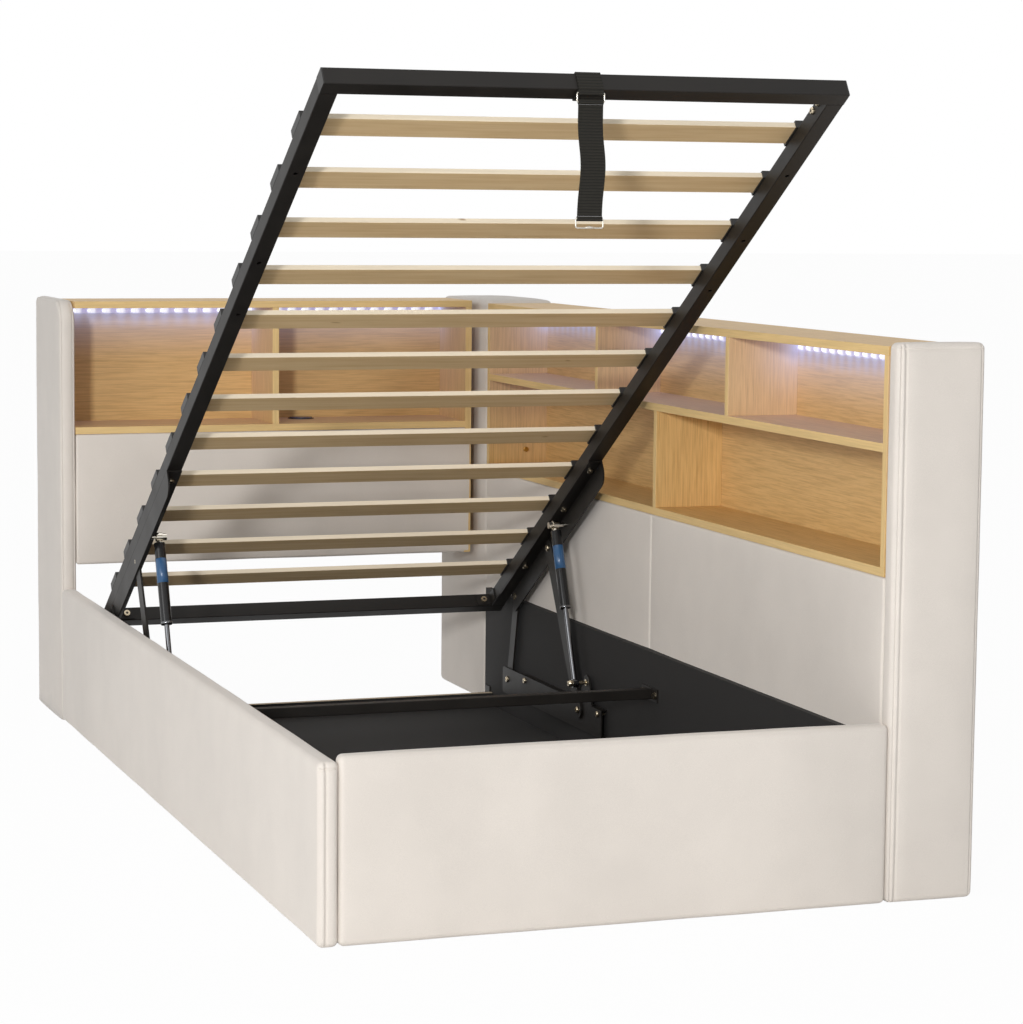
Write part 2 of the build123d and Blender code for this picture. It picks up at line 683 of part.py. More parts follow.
# Lift arms: steel angles under the rails, with the pivots in the leg that hangs down
arm_v = (frame_length - arm_from_head - arm_length, frame_length - arm_from_head)
for side, name in SIDES:
    with BuildPart() as lift_arm:
        under_x = across(side, half_frame - tube_size, half_frame)
        with BuildSketch(frame_side(under_x[0])):
            with Locations((arm_v[0], -plate)):
                Rectangle(arm_length, plate, align=CORNER)
        extrude(amount=tube_size)
        hang_x = across(side, arm_face, half_frame)
        with BuildSketch(frame_side(hang_x[0])) as hanging_leg:
            with BuildLine():
                Polyline((arm_v[0], -plate), (arm_v[1], -plate), (arm_v[1], -arm_depth), (arm_v[0], -arm_depth),
                         close=True)
            make_face()
            fillet(min(hanging_leg.vertices(), key=lambda corner: corner.X + corner.Y), arm_end_radius)
            with Locations((front_pivot_v, -front_pivot_below_frame)):
                Circle(pin_radius, mode=Mode.SUBTRACT)
        extrude(hanging_leg.sketch, amount=plate)
        with BuildSketch(frame_layer(-plate)) as bolt_holes:
            with Locations(*[(sum(under_x) / 2, frame_length - from_head) for from_head in arm_bolts_from_head]):
                Circle(bolt_radius + bolt_play)
        extrude(bolt_holes.sketch, amount=plate, mode=Mode.SUBTRACT)
    save(lift_arm, f"{name}_lift_arm")


def frame_point(side, distance_out, v, n):
    """A point of the lifted frame in space."""
    return (frame_mid + side * distance_out, *opened(v, n))


with BuildPart() as frame_bolts:
    down = (0, -sin(tilt), -cos(tilt))
    towards_foot = (0, -cos(tilt), sin(tilt))
    for side, name in SIDES:
        for from_head in arm_bolts_from_head:
            seat = frame_point(side, half_frame - tube_size / 2, frame_length - from_head, -plate)
            bolt(Plane(origin=seat, x_dir=(1, 0, 0), z_dir=down), plate)
        for from_foot, above in corner_bolts:
            seat = frame_point(side, half_frame - tube_size, from_foot, above)
            bolt(Plane(origin=seat, x_dir=towards_foot, z_dir=(-side, 0, 0)), tube_wall)
        angle_seat = frame_point(side, half_frame - tube_size - angle_leg / 2, tube_foot_v - angle_thick, tube_size / 2)
        with Locations(Plane(origin=angle_seat, x_dir=(1, 0, 0), z_dir=towards_foot)):
            Cylinder(bolt_head_radius, bolt_head, align=STAND)
        pin_reach = link_thick + 2 * slip
        pin_seat = frame_point(side, arm_face - pin_reach, front_pivot_v, -front_pivot_below_frame)
        bolt(Plane(origin=pin_seat, x_dir=towards_foot, z_dir=(-side, 0, 0)), pin_reach + plate,
             pin_head_radius, pin_head, pin_radius)
        rivet_seat = frame_point(side, arm_face, rear_pivot_v, -rear_pivot_below_frame)
        with Locations(Plane(origin=rivet_seat, x_dir=towards_foot, z_dir=(-side, 0, 0))):
            Cylinder(pin_head_radius, pin_head / 2, align=STAND)
save(frame_bolts, "frame_bolts")

# Slats in plastic holders on top of the rails
slat_starts = [first_slat + index * slat_pitch for index in range(slat_count)]
slat_foot_n = tube_size + cap_floor + slat_gap
cap_height = cap_floor + slat_thick + 2 * slat_gap + cap_roof
cap_margin = (cap_length - slat_width) / 2

with BuildPart() as slats:
    with BuildSketch(frame_side(frame_left + slat_end_gap)):
        with Locations(*[(v, slat_foot_n) for v in slat_starts]):
            Rectangle(slat_width, slat_thick, align=CORNER)
    extrude(amount=2 * (half_frame - slat_end_gap))
    fillet(edges().filter_by(Axis.X), slat_thick / 8)
save(slats, "slats")

with BuildPart() as slat_caps:
    for side, name in SIDES:
        cap_x = across(side, half_frame - tube_size - cap_reach, half_frame)
        with BuildSketch(frame_side(cap_x[0])) as cap_outside:
            with Locations(*[(v - cap_margin, tube_size) for v in slat_starts]):
                Rectangle(cap_length, cap_height, align=CORNER)
            fillet(vertices(), cap_roof / 3)
        extrude(cap_outside.sketch, amount=cap_x[1] - cap_x[0])
        pocket_x = across(side, half_frame - tube_size - cap_reach, half_frame - slat_end_gap + slat_gap)
        with BuildSketch(frame_side(pocket_x[0])) as pocket:
            with Locations(*[(v - slat_gap, tube_size + cap_floor) for v in slat_starts]):
                Rectangle(slat_width + 2 * slat_gap, slat_thick + 2 * slat_gap, align=CORNER)
        extrude(pocket.sketch, amount=pocket_x[1] - pocket_x[0], mode=Mode.SUBTRACT)
save(slat_caps, "slat_caps")

# Gas struts: the rod turns on the base bracket, and the tube slides on it up to the lift arm
strut_length = distance(strut_base, strut_top)
strut_up = (0, (strut_top[0] - strut_base[0]) / strut_length, (strut_top[1] - strut_base[1]) / strut_length)
strut_down = tuple(-part for part in strut_up)
tube_end = strut_tube_start + strut_tube_length
rod_top = strut_length - tube_end + rod_overlap

for side, name in SIDES:
    strut_x = frame_mid + side * strut_line
    top_plane = Plane(origin=(strut_x, *strut_top), x_dir=(1, 0, 0), z_dir=strut_down)
    base_plane = Plane(origin=(strut_x, *strut_base), x_dir=(1, 0, 0), z_dir=strut_up)

    with BuildPart() as strut_cylinder:
        with Locations(top_plane):
            Cylinder(rod_radius, strut_tube_start + 1, align=STAND)
        with Locations(top_plane.offset(strut_tube_start)):
            Cylinder(strut_tube_radius, strut_tube_length, align=STAND)
        fillet(edges().filter_by(GeomType.CIRCLE).sort_by(SortBy.RADIUS)[-2:], 1.5)
        with Locations(top_plane.offset(strut_tube_start + strut_cap)):
            Cylinder(strut_bore, strut_tube_length - 2 * strut_cap, align=STAND, mode=Mode.SUBTRACT)
        with Locations(top_plane.offset(tube_end - strut_cap)):
            Cylinder(rod_radius + pin_play, strut_cap, align=STAND, mode=Mode.SUBTRACT)
        with Locations(upright(side, strut_top, strut_line - eye_width / 2)):
            Cylinder(eye_radius, eye_width, align=STAND)
            Cylinder(pin_radius, strut_from_plate + eye_width / 2 - slip, align=STAND)
        with Locations(upright(side, strut_top, strut_line - eye_width / 2, -1)):
            Cylinder(pin_head_radius, stud_end, align=STAND)
    save(strut_cylinder, f"{name}_strut_cylinder")

    with BuildPart() as strut_rod:
        with Locations(base_plane):
            Cylinder(rod_radius, rod_top, align=STAND)
        with Locations(base_plane.offset(rod_top - piston_length)):
            Cylinder(strut_bore - pin_play, piston_length, align=STAND)
        with Locations(upright(side, strut_base, strut_line - eye_width / 2)):
            Cylinder(eye_radius, eye_width, align=STAND)
            Cylinder(pin_radius + pin_play, eye_width, align=STAND, mode=Mode.SUBTRACT)
    save(strut_rod, f"{name}_strut_rod")

# Pull strap: a webbing loop round the foot tube, and a tail that hangs from it between two rings
fold_radius = wire_radius + wire_gap + strap_thick
strap_x_span = (strap_x - strap_width / 2, strap_x + strap_width / 2)

with BuildPart() as strap_loop:
    with BuildSketch(frame_side(strap_x_span[0])):
        loop_size = tube_size + 2 * (strap_slack + strap_thick)
        with Locations((tube_size / 2, tube_size / 2)):
            RectangleRounded(loop_size, loop_size, strap_thick + tube_wall)
        with Locations((strap_hinge_in, -strap_hinge_below)):
            Circle(fold_radius)
        with Locations((tube_size / 2, tube_size / 2)):
            RectangleRounded(tube_size + 2 * strap_slack, tube_size + 2 * strap_slack, tube_wall, mode=Mode.SUBTRACT)
        with Locations((strap_hinge_in, -strap_hinge_below)):
            Circle(wire_radius + wire_gap, mode=Mode.SUBTRACT)
    extrude(amount=strap_width)
save(strap_loop, "strap_loop")

ring_tops = [strap_hinge[1], strap_hinge[1] - ring_drop - strap_length]
with BuildPart() as pull_strap:
    with BuildSketch(Plane.YZ.offset(strap_x_span[0])):
        fold_y = strap_hinge[0]
        fold_z = (ring_tops[0] - ring_drop, ring_tops[1])
        with Locations(*[(fold_y, z) for z in fold_z]):
            Circle(fold_radius)
        with Locations((fold_y, sum(fold_z) / 2)):
            Rectangle(strap_thick, fold_z[0] - fold_z[1])
        with Locations(*[(fold_y, z) for z in fold_z]):
            Circle(wire_radius + wire_gap, mode=Mode.SUBTRACT)
    extrude(amount=strap_width)
save(pull_strap, "pull_strap")

half_ring = strap_width / 2 + ring_side_gap + wire_radius
with BuildPart() as strap_rings:
    for ring_top in ring_tops:
        ring_plane = Plane(origin=(strap_x, strap_hinge[0], ring_top), x_dir=(1, 0, 0), z_dir=(0, -1, 0))
        with BuildSketch(ring_plane, mode=Mode.PRIVATE) as ring_shape:
            with Locations((0, -ring_drop / 2)):
                RectangleRounded(2 * half_ring, ring_drop, ring_corner)
        ring_path = ring_shape.sketch.face().outer_wire()
        with BuildSketch(Plane(origin=ring_path @ 0, z_dir=ring_path % 0)) as wire_section:
            Circle(wire_radius)
        sweep(wire_section.sketch, path=ring_path)
save(strap_rings, "strap_rings")

print(f"links: front turns {front_turn:.2f}, rear {rear_turn:.2f}, strut {strut_turn:.2f} degrees, "
      f"strut slides {strut_slide:.1f} mm, frame turns {frame_turn:.2f} on the front links")
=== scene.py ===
"""Looks of the upholstered storage daybed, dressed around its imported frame. Metres, Z up."""
import json
from math import cos, exp, pi, radians, sin

import bmesh
import bpy
import numpy as np
from mathutils import Matrix, Vector, noise


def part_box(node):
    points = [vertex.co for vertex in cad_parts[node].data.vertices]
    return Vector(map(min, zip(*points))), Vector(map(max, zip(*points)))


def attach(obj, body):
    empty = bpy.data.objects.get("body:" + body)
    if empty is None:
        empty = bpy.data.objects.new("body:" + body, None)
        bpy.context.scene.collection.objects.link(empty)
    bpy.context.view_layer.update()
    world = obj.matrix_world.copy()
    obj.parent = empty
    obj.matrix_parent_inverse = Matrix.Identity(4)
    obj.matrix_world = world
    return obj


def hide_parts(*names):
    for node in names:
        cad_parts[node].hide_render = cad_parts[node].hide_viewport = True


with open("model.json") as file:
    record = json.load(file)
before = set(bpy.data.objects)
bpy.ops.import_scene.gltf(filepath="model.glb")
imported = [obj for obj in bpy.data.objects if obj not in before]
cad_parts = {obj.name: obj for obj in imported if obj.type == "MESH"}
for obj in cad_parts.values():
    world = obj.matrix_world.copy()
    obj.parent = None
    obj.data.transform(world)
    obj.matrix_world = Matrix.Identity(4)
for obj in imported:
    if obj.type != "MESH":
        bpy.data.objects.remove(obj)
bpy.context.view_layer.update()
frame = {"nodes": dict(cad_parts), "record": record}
nodes = frame["nodes"]

BODIES = frame["record"]["behaviour"]["bodies"]
BODY_OF = {node: body for body, members in BODIES.items() for node in members}
JOINTS = {joint["name"]: joint for joint in frame["record"]["behaviour"]["joints"]}


def srgb(red, green, blue):
    """A display colour, 0 to 255, as the linear colour that shaders take."""
    parts = [value / 255 for value in (red, green, blue)]
    return tuple(p / 12.92 if p <= 0.04045 else ((p + 0.055) / 1.055) ** 2.4 for p in parts) + (1.0,)


# Camera of the photograph
CAMERA_AT = Vector((-1.755, -5.4055, 1.145))
CAMERA_YAW = radians(19.56)         # from +Y towards +X
CAMERA_PITCH = radians(-6.06)
CAMERA_ROLL = radians(0.52)
FOCAL_PIXELS = 2899
IMAGE_SIDE = 1024
SENSOR = 36


def make_camera():
    """The camera fitted to the photograph's straight edges."""
    ahead = cos(CAMERA_PITCH)
    forward = Vector((sin(CAMERA_YAW) * ahead, cos(CAMERA_YAW) * ahead, sin(CAMERA_PITCH)))
    level = Vector((cos(CAMERA_YAW), -sin(CAMERA_YAW), 0))
    upward = level.cross(forward)
    right = level * cos(CAMERA_ROLL) + upward * sin(CAMERA_ROLL)
    up = upward * cos(CAMERA_ROLL) - level * sin(CAMERA_ROLL)
    data = bpy.data.cameras.new("camera")
    data.sensor_width = SENSOR
    data.lens = SENSOR * FOCAL_PIXELS / IMAGE_SIDE
    data.clip_end = 100
    camera = bpy.data.objects.new("camera", data)
    bpy.context.scene.collection.objects.link(camera)
    turn = Matrix((right, up, -forward)).transposed().to_4x4()
    camera.matrix_world = Matrix.Translation(CAMERA_AT) @ turn
    bpy.context.scene.camera = camera


make_camera()


# Shader helpers
def node(tree, kind, inputs=None, **settings):
    """A shader node: inputs are values, or output sockets to link."""
    made = tree.nodes.new("ShaderNode" + kind)
    for key, value in settings.items():
        setattr(made, key, value)
    for key, value in (inputs or {}).items():
        if isinstance(value, bpy.types.NodeSocket):
            tree.links.new(value, made.inputs[key])
        else:
            made.inputs[key].default_value = value
    return made


def start(name, **inputs):
    """A new material's tree, its Principled shader and its object coordinates."""
    material = bpy.data.materials.new(name)
    material.use_nodes = True
    tree = material.node_tree
    shader = tree.nodes["Principled BSDF"]
    for key, value in inputs.items():
        shader.inputs[key.replace("_", " ")].default_value = value
    place = node(tree, "TexCoord").outputs["Object"]
    return material, tree, shader, place


def noise_at(tree, place, scale, detail=2.0, roughness=0.5, stretch=(1, 1, 1)):
    """Noise with its own stretch along each axis."""
    if stretch != (1, 1, 1):
        place = node(tree, "Mapping", {"Vector": place, "Scale": stretch}).outputs[0]
    inputs = {"Vector": place, "Scale": scale, "Detail": detail, "Roughness": roughness}
    return node(tree, "TexNoise", inputs).outputs["Fac"]


def ramp(tree, factor, *stops):
    """Colour ramp between two (position, colour) stops."""
    made = node(tree, "ValToRGB", {"Fac": factor})
    for element, (position, colour) in zip(made.color_ramp.elements, stops):
        element.position = position
        element.color = colour
    return made.outputs["Color"]


def mix(tree, factor, first, second, blend="MIX"):
    """Colour mix."""
    made = node(tree, "Mix", data_type="RGBA", blend_type=blend)
    for index, value in ((0, factor), (6, first), (7, second)):
        if isinstance(value, bpy.types.NodeSocket):
            tree.links.new(value, made.inputs[index])
        else:
            made.inputs[index].default_value = value
    return made.outputs[2]


def bump(tree, shader, height, strength, distance, under=None):
    """Raise a shader's surface by a height socket, on top of another bump if one is given."""
    inputs = {"Height": height, "Strength": strength, "Distance": distance}
    if under is not None:
        inputs["Normal"] = under
    made = node(tree, "Bump", inputs).outputs["Normal"]
    tree.links.new(made, shader.inputs["Normal"])
    return made


def calc(tree, operation, *values):
    """Math node on numbers or sockets."""
    return node(tree, "Math", dict(enumerate(values)), operation=operation).outputs[0]


def rescale(tree, value, target, source=(0.0, 1.0)):
    """A value moved from its source range to a target range, and kept inside it."""
    inputs = {"Value": value, "From Min": source[0], "From Max": source[1]}
    inputs.update({"To Min": target[0], "To Max": target[1]})
    return node(tree, "MapRange", inputs).outputs[0]


def wave(tree, value):
    """Sine of a value, moved to the range 0 to 1."""
    return rescale(tree, calc(tree, "SINE", value), (0.0, 1.0), (-1.0, 1.0))


def grey(value):
    """A neutral colour from its linear value."""
    return (value, value, value, 1.0)


def shade(colour, factor):
    """A colour made darker or lighter."""
    return tuple(part * factor for part in colour[:3]) + (1.0,)


def blended(first, second, share):
    """A colour between two others."""
    return tuple(a + (b - a) * share for a, b in zip(first, second))


def stretched(axis, along, across=1.0):
    """A noise's scale along one axis and across it."""
    return tuple(along if index == axis else across for index in range(3))


# Materials
VELVET = srgb(230, 222, 213)


def make_velvet(name, colour):
    """Short-pile velvet: soft smears of brushed pile, fine fibres and a light sheen."""
    material, tree, shader, place = start(name, Roughness=0.92, Sheen_Weight=0.25, Sheen_Roughness=0.45)
    smear = noise_at(tree, place, 3.2, 3.0, 0.55, (1.0, 1.0, 0.55))
    patch = noise_at(tree, place, 14.0, 2.0, 0.5)
    fibre = noise_at(tree, place, 1100.0, 1.0, 0.6)
    tone = ramp(tree, smear, (0.32, shade(colour, 0.94)), (0.68, shade(colour, 1.03)))
    tone = mix(tree, 0.5, tone, ramp(tree, patch, (0.35, grey(0.95)), (0.65, grey(1.0))), "MULTIPLY")
    tone = mix(tree, 0.6, tone, ramp(tree, fibre, (0.3, grey(0.88)), (0.7, grey(1.0))), "MULTIPLY")
    tree.links.new(tone, shader.inputs["Base Color"])
    lower = bump(tree, shader, patch, 0.10, 0.004)
    bump(tree, shader, fibre, 0.35, 0.0006, lower)
    return material


OAK_LIGHT = srgb(222, 184, 122)
OAK_MID = srgb(213, 174, 110)
OAK_DARK = srgb(180, 142, 86)
# paler front edges: painted highlight where the board fronts catch the light
OAK_LIT_EDGE = srgb(233, 200, 140)
# painted glow of the light strips on nearby oak: its colour, reach, far spill and emission strength
GLOW = srgb(196, 199, 232)
GLOW_CORE = 0.045
GLOW_REACH = 0.12
GLOW_SPILL = 0.36
GLOW_STRENGTH = 0.5
LED_PITCH = 0.0333
OAK_RINGS = 120.0


def fade(tree, distance, reach, power, strength):
    """Falls from a strength at no distance to 0 at a reach."""
    near = rescale(tree, distance, (1.0, 0.0), (0.0, reach))
    return calc(tree, "MULTIPLY", calc(tree, "POWER", near, power), strength)


def led_wave(tree, place, axis):
    """A soft wave along a strip, 0 to 1, with one crest for each chip."""
    along = node(tree, "SeparateXYZ", {0: place}).outputs[axis]
    return wave(tree, calc(tree, "MULTIPLY", along, 2 * pi / LED_PITCH))


def strip_glow(tree, place, strip, spill):
    """How strongly a light strip's painted glow shows on a point near it, 0 to 1."""
    low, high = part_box(strip)
    depth = 1 if high.x - low.x > high.y - low.y else 0
    parts = node(tree, "SeparateXYZ", {0: place}).outputs
    middle = (low + high) / 2
    away = calc(tree, "SUBTRACT", parts[depth], middle[depth])
    down = calc(tree, "SUBTRACT", parts[2], middle.z)
    squared = calc(tree, "ADD", calc(tree, "MULTIPLY", away, away), calc(tree, "MULTIPLY", down, down))
    distance = calc(tree, "SQRT", squared)
    scallop = rescale(tree, led_wave(tree, place, 1 - depth), (0.55, 1.0))
    core = calc(tree, "MULTIPLY", fade(tree, distance, GLOW_CORE, 1.4, 0.75), scallop)
    halo = fade(tree, distance, GLOW_REACH, 1.8, 0.42)
    wide = fade(tree, distance, GLOW_SPILL, 1.0, spill)
    return calc(tree, "MINIMUM", calc(tree, "ADD", calc(tree, "ADD", core, halo), wide), 1.0)


def make_oak(name, axis, strip=None, spill=0.0):
    """Light oak laminate with its grain along one axis, with a light strip's glow painted into its colour
    and emission near the strip.
    """
    material, tree, shader, place = start(name, Roughness=0.46, Specular_IOR_Level=0.35)
    figure = noise_at(tree, place, 7.0, 1.5, 0.45, stretched(axis, 0.14))
    rings = wave(tree, calc(tree, "MULTIPLY", figure, OAK_RINGS))
    streak = noise_at(tree, place, 300.0, 3.0, 0.65, stretched(axis, 0.035))
    pores = noise_at(tree, place, 560.0, 1.0, 0.5, stretched(axis, 0.03))
    broad = noise_at(tree, place, 9.0, 2.0, 0.5, stretched(axis, 0.2))
    tone = ramp(tree, rings, (0.0, blended(OAK_MID, OAK_LIGHT, 0.7)), (0.5, OAK_LIGHT))
    tone = mix(tree, ramp(tree, streak, (0.42, grey(0.0)), (0.70, grey(0.6))), tone, OAK_DARK)
    tone = mix(tree, ramp(tree, pores, (0.58, grey(0.0)), (0.72, grey(0.45))), tone, OAK_DARK)
    tone = mix(tree, 1.0, tone, ramp(tree, broad, (0.3, grey(0.95)), (0.7, grey(1.0))), "MULTIPLY")
    if strip:
        glow = strip_glow(tree, place, strip, spill)
        tone = mix(tree, glow, tone, GLOW)
        light = mix(tree, glow, grey(0.0), GLOW)
        tree.links.new(light, shader.inputs["Emission Color"])
        shader.inputs["Emission Strength"].default_value = GLOW_STRENGTH
    tree.links.new(tone, shader.inputs["Base Color"])
    bump(tree, shader, streak, 0.08, 0.0005)
    return material


def make_lit_edge_band(name, axis):
    """Edge banding on a board's front edge with its own streaks, painted paler as painted highlight."""
    material, tree, shader, place = start(name, Roughness=0.5, Specular_IOR_Level=0.35)
    streak = noise_at(tree, place, 240.0, 2.0, 0.6, stretched(axis, 0.03))
    tone = ramp(tree, streak, (0.35, OAK_LIT_EDGE), (0.7, shade(OAK_LIT_EDGE, 0.86)))
    tree.links.new(tone, shader.inputs["Base Color"])
    return material


def make_raw_board(name, colour):
    """Unfaced board: fine chips and a dull surface."""
    material, tree, shader, place = start(name, Roughness=0.85)
    chips = noise_at(tree, place, 260.0, 3.0, 0.7)
    tone = ramp(tree, chips, (0.35, shade(colour, 0.82)), (0.65, colour))
    tree.links.new(tone, shader.inputs["Base Color"])
    bump(tree, shader, chips, 0.15, 0.0006)
    return material


def make_powder_coat(name, colour, roughness):
    """Powder-coated steel: fine orange peel and slightly uneven gloss."""
    material, tree, shader, place = start(name, Specular_IOR_Level=0.3)
    peel = noise_at(tree, place, 420.0, 2.0, 0.55)
    haze = noise_at(tree, place, 16.0, 2.0, 0.5)
    tree.links.new(rescale(tree, haze, (roughness - 0.05, roughness + 0.08)), shader.inputs["Roughness"])
    tone = ramp(tree, haze, (0.3, shade(colour, 0.85)), (0.7, shade(colour, 1.15)))
    tree.links.new(tone, shader.inputs["Base Color"])
    bump(tree, shader, peel, 0.10, 0.0005)
    return material


def make_metal(name, colour, roughness):
    """Bare or plated metal with fine turning marks."""
    material, tree, shader, place = start(name, Metallic=1.0)
    marks = noise_at(tree, place, 900.0, 2.0, 0.6)
    tree.links.new(rescale(tree, marks, (roughness * 0.8, roughness * 1.25)), shader.inputs["Roughness"])
    tone = ramp(tree, marks, (0.3, shade(colour, 0.85)), (0.7, colour))
    tree.links.new(tone, shader.inputs["Base Color"])
    bump(tree, shader, marks, 0.05, 0.0003)
    return material


def make_plastic(name, colour, roughness):
    """Moulded plastic with a fine spark-eroded texture."""
    material, tree, shader, place = start(name, Specular_IOR_Level=0.4, Roughness=roughness)
    grain = noise_at(tree, place, 1500.0, 1.0, 0.5)
    tone = ramp(tree, grain, (0.3, shade(colour, 0.9)), (0.7, shade(colour, 1.1)))
    tree.links.new(tone, shader.inputs["Base Color"])
    bump(tree, shader, grain, 0.12, 0.0003)
    return material


SLAT_PALE = srgb(216, 189, 146)
SLAT_MID = srgb(200, 169, 124)
SLAT_EDGE = srgb(247, 232, 206)
SLAT_DARK = srgb(150, 116, 76)


def make_birch(name, light, deep):
    """Laminated slat: long grain and a few small knots."""
    material, tree, shader, place = start(name, Roughness=0.55, Specular_IOR_Level=0.3)
    grain = noise_at(tree, place, 120.0, 3.0, 0.6, (0.04, 1, 1))
    broad = noise_at(tree, place, 7.0, 2.0, 0.5, (0.5, 1, 1))
    knots = noise_at(tree, place, 46.0, 1.0, 0.4, (0.4, 1, 1))
    tone = ramp(tree, grain, (0.35, light), (0.75, deep))
    tone = mix(tree, 1.0, tone, ramp(tree, broad, (0.3, grey(0.93)), (0.7, grey(1.0))), "MULTIPLY")
    tone = mix(tree, ramp(tree, knots, (0.78, grey(0.0)), (0.82, grey(0.8))), tone, SLAT_DARK)
    tree.links.new(tone, shader.inputs["Base Color"])
    bump(tree, shader, grain, 0.06, 0.0006)
    return material


RIB_SCALE = 66.0
YARN_SCALE = 210.0


def bands(tree, place, scale, direction):
    """Soft stripes across one axis."""
    return node(tree, "TexWave", {"Vector": place, "Scale": scale, "Distortion": 0.3},
                wave_type="BANDS", bands_direction=direction).outputs["Fac"]


def make_webbing(name, colour):
    """Woven webbing: ribs across the strap and finer yarns along it."""
    material, tree, shader, place = start(name, Roughness=0.8, Specular_IOR_Level=0.3)
    weave = mix(tree, 0.3, bands(tree, place, RIB_SCALE, "Z"), bands(tree, place, YARN_SCALE, "X"))
    tone = ramp(tree, weave, (0.2, shade(colour, 0.6)), (0.8, shade(colour, 1.5)))
    tree.links.new(tone, shader.inputs["Base Color"])
    bump(tree, shader, weave, 0.6, 0.0010)
    return material


LED_STRENGTH = 1.6
# emission strength of the tapes' painted glow
TAPE_STRENGTH = 0.85


def make_led(name):
    """A lit chip behind its frosted lens."""
    material, tree, shader, place = start(name, Base_Color=srgb(240, 245, 255), Roughness=0.3)
    frost = noise_at(tree, place, 900.0, 1.0, 0.5)
    light = ramp(tree, frost, (0.3, srgb(222, 230, 255)), (0.7, srgb(244, 247, 255)))
    tree.links.new(light, shader.inputs["Emission Color"])
    shader.inputs["Emission Strength"].default_value = LED_STRENGTH
    return material


def make_lit_tape(name, axis):
    """A light strip's tape with a painted glow from the chips along it, in its emission."""
    material, tree, shader, place = start(name, Base_Color=srgb(226, 230, 244), Roughness=0.4)
    chips = led_wave(tree, place, axis)
    light = ramp(tree, chips, (0.15, srgb(150, 152, 205)), (0.85, srgb(236, 240, 255)))
    tree.links.new(light, shader.inputs["Emission Color"])
    shader.inputs["Emission Strength"].default_value = TAPE_STRENGTH
    return material


BLACK = srgb(25, 22, 19)
# painted glow: how much of a strip's painted light spills far along each kind of board
BACK_SPILL = 0.04                   # light that a strip throws far along a back, a divider or a shelf
DIVIDER_SPILL = 0.14
SHELF_SPILL = 0.25

velvet = make_velvet("velvet", VELVET)
oak = [make_oak(f"oak_grain_{name}", axis) for axis, name in enumerate("xyz")]
head_oak = {0: make_oak("head_oak_x", 0, "headboard_led_strip", BACK_SPILL),
            2: make_oak("head_oak_z", 2, "headboard_led_strip", DIVIDER_SPILL)}
case_oak = {1: make_oak("case_oak_y", 1, "bookcase_led_strip", BACK_SPILL),
            2: make_oak("case_oak_z", 2, "bookcase_led_strip", DIVIDER_SPILL)}
head_shelf_oak = make_oak("head_shelf_oak", 0, "headboard_led_strip", SHELF_SPILL)
case_shelf_oak = make_oak("case_shelf_oak", 1, "bookcase_led_strip", SHELF_SPILL)
lit_edge_band = [make_lit_edge_band(f"oak_lit_edge_{name}", axis) for axis, name in enumerate("xyz")]
raw_back = make_raw_board("raw_back", srgb(206, 190, 166))
raw_cream = make_raw_board("raw_cream", srgb(226, 208, 180))
black_board = make_raw_board("black_board", srgb(31, 29, 28))
black_steel = make_powder_coat("black_steel", BLACK, 0.48)
dark_plastic = make_plastic("black_plastic", srgb(34, 33, 32), 0.45)
zinc = make_metal("yellow_zinc", srgb(204, 190, 164), 0.26)
brass = make_metal("brass", srgb(204, 164, 92), 0.32)
bright = make_metal("bright_steel", srgb(222, 216, 204), 0.16)
rod_chrome = make_metal("rod_chrome", srgb(120, 121, 124), 0.10)
gloss_black = make_plastic("gloss_black", srgb(28, 28, 29), 0.16)
band_blue = make_plastic("band_blue", srgb(54, 92, 132), 0.22)
# painted shade in the bolts' socket recesses
socket_shade = make_plastic("socket_shade", srgb(34, 30, 26), 0.5)
charger_top = make_plastic("charger_top", srgb(72, 76, 106), 0.2)
birch = make_birch("birch", SLAT_PALE, SLAT_MID)
birch_edge = make_birch("birch_edge", SLAT_EDGE, shade(SLAT_EDGE, 0.9))
webbing = make_webbing("webbing", srgb(30, 28, 23))
lit_tape = [make_lit_tape(f"lit_tape_{name}", axis) for axis, name in enumerate("xy")]
led_lit = make_led("led_lit")


# Mesh helpers
def piece(name, points, faces, material, like, smooth=True):
    """A mesh that rides with a CAD node's body, in the material it is given."""
    mesh = bpy.data.meshes.new(name)
    mesh.from_pydata([tuple(point) for point in points], [], faces)
    mesh.validate()
    mesh.polygons.foreach_set("use_smooth", [smooth] * len(mesh.polygons))
    made = bpy.data.objects.new(name, mesh)
    bpy.context.scene.collection.objects.link(made)
    mesh.materials.append(material)
    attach(made, BODY_OF[like])
    return made


def stations(low, high, radius, step, extra=()):
    """Places along one axis: close together in the rounded edges and evenly spread between."""
    edge = [radius * share for share in (0.0, 0.2, 0.45, 0.72, 1.0)]
    count = max(1, round((high - low - 2 * radius) / step))
    middle = np.linspace(low + radius, high - radius, count + 1)[1:-1]
    places = [low + e for e in edge] + list(middle) + [high - e for e in edge] + list(extra)
    return sorted(set(round(place, 6) for place in places))


def box_lattice(xs, ys, zs):
    """Points and outward quads of a box's surface, divided at the given places."""
    counts = (len(xs), len(ys), len(zs))
    points, index, faces = [], {}, []

    def at(key):
        if key not in index:
            index[key] = len(points)
            points.append(Vector((xs[key[0]], ys[key[1]], zs[key[2]])))
        return index[key]

    for axis in range(3):
        first, second = (axis + 1) % 3, (axis + 2) % 3
        for end in (0, counts[axis] - 1):
            for i in range(counts[first] - 1):
                for j in range(counts[second] - 1):
                    corners = []
                    for di, dj in ((0, 0), (1, 0), (1, 1), (0, 1)):
                        key = [0, 0, 0]
                        key[axis], key[first], key[second] = end, i + di, j + dj
                        corners.append(at(tuple(key)))
                    faces.append(corners if end else corners[::-1])
    return points, faces


